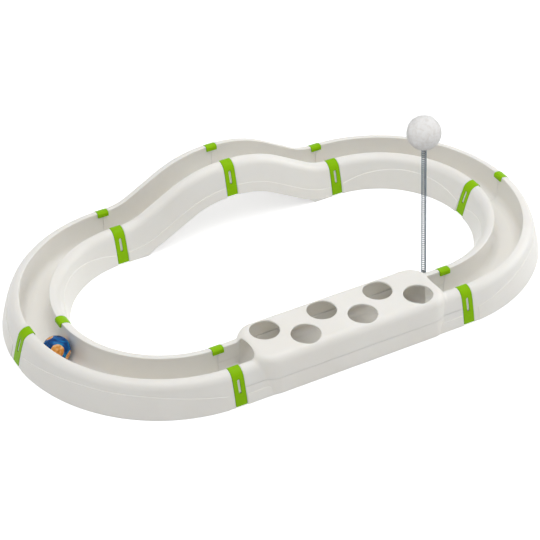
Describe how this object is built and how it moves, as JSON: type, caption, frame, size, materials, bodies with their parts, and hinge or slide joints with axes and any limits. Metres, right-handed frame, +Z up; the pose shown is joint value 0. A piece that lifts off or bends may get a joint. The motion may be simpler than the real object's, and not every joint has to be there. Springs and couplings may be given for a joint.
{
  "type": "cat ball track toy",
  "caption": "Closed loop of clipped white track modules with a hill, a covered tunnel with paw holes, a rolling ball and a plush ball on a spring wand.",
  "frame": {"origin": "on the floor, under the middle of the toy's outline", "axes": "+X along the tunnel and the hill, +Y from the tunnel to the hill, +Z up"},
  "size_m": [0.6554, 0.3676, 0.236],
  "materials": {
    "track_plastic": "satin",
    "clip_plastic": "gloss",
    "ball_plastic": "gloss",
    "plug_plastic": "satin",
    "spring_steel": "bright",
    "foam": "matt",
    "plush": "napped"
  },
  "bodies": {
    "track": {"bend_front_left": "track_plastic", "bend_back_left": "track_plastic", "bend_back_right": "track_plastic", "bend_front_right": "track_plastic", "ramp_left": "track_plastic", "ramp_right": "track_plastic", "tunnel_base": "track_plastic", "tunnel_cover": "track_plastic", "wand_plug": "plug_plastic"},
    "ball": {"ball_lower_half": "ball_plastic", "ball_upper_half": "ball_plastic"},
    "wand": {"wand_spring": "spring_steel", "plush_core": "foam", "plush_cover": "plush"},
    "clip_outer_left": {"clip_outer_left": "clip_plastic"},
    "clip_inner_left": {"clip_inner_left": "clip_plastic"},
    "clip_outer_back_left": {"clip_outer_back_left": "clip_plastic"},
    "clip_inner_back_left": {"clip_inner_back_left": "clip_plastic"},
    "clip_outer_crest": {"clip_outer_crest": "clip_plastic"},
    "clip_inner_crest": {"clip_inner_crest": "clip_plastic"},
    "clip_outer_back_right": {"clip_outer_back_right": "clip_plastic"},
    "clip_inner_back_right": {"clip_inner_back_right": "clip_plastic"},
    "clip_outer_right": {"clip_outer_right": "clip_plastic"},
    "clip_inner_right": {"clip_inner_right": "clip_plastic"},
    "clip_outer_front_right": {"clip_outer_front_right": "clip_plastic"},
    "clip_inner_front_right": {"clip_inner_front_right": "clip_plastic"},
    "clip_outer_front_left": {"clip_outer_front_left": "clip_plastic"},
    "clip_inner_front_left": {"clip_inner_front_left": "clip_plastic"}
  },
  "joints": [
    {"name": "ball_roll", "type": "hinge", "parent": "track", "child": "ball", "pos_m": [-0.145, 0.0006, 0.0202], "axis": [0, 0, 1], "range_deg": [-99, 80]},
    {"name": "wand_bend", "type": "hinge", "parent": "track", "child": "wand", "pos_m": [0.13016, -0.1034, 0.07891], "axis": [0.4828, 0.8757, 0], "range_deg": [-25, 25], "stiffness_Nm_per_rad": 0.25, "deforming": ["wand_spring"]},
    {"name": "clip_outer_left_lift", "type": "slide", "parent": "track", "child": "clip_outer_left", "axis": [0, 0, 1], "range_m": [0, 0.045]},
    {"name": "clip_inner_left_lift", "type": "slide", "parent": "track", "child": "clip_inner_left", "axis": [0, 0, 1], "range_m": [0, 0.045]},
    {"name": "clip_outer_back_left_lift", "type": "slide", "parent": "track", "child": "clip_outer_back_left", "axis": [0, 0, 1], "range_m": [0, 0.045]},
    {"name": "clip_inner_back_left_lift", "type": "slide", "parent": "track", "child": "clip_inner_back_left", "axis": [0, 0, 1], "range_m": [0, 0.045]},
    {"name": "clip_outer_crest_lift", "type": "slide", "parent": "track", "child": "clip_outer_crest", "axis": [0, 0, 1], "range_m": [0, 0.045]},
    {"name": "clip_inner_crest_lift", "type": "slide", "parent": "track", "child": "clip_inner_crest", "axis": [0, 0, 1], "range_m": [0, 0.045]},
    {"name": "clip_outer_back_right_lift", "type": "slide", "parent": "track", "child": "clip_outer_back_right", "axis": [0, 0, 1], "range_m": [0, 0.045]},
    {"name": "clip_inner_back_right_lift", "type": "slide", "parent": "track", "child": "clip_inner_back_right", "axis": [0, 0, 1], "range_m": [0, 0.045]},
    {"name": "clip_outer_right_lift", "type": "slide", "parent": "track", "child": "clip_outer_right", "axis": [0, 0, 1], "range_m": [0, 0.045]},
    {"name": "clip_inner_right_lift", "type": "slide", "parent": "track", "child": "clip_inner_right", "axis": [0, 0, 1], "range_m": [0, 0.045]},
    {"name": "clip_outer_front_right_lift", "type": "slide", "parent": "track", "child": "clip_outer_front_right", "axis": [0, 0, 1], "range_m": [0, 0.045]},
    {"name": "clip_inner_front_right_lift", "type": "slide", "parent": "track", "child": "clip_inner_front_right", "axis": [0, 0, 1], "range_m": [0, 0.045]},
    {"name": "clip_outer_front_left_lift", "type": "slide", "parent": "track", "child": "clip_outer_front_left", "axis": [0, 0, 1], "range_m": [0, 0.045]},
    {"name": "clip_inner_front_left_lift", "type": "slide", "parent": "track", "child": "clip_inner_front_left", "axis": [0, 0, 1], "range_m": [0, 0.045]}
  ]
}
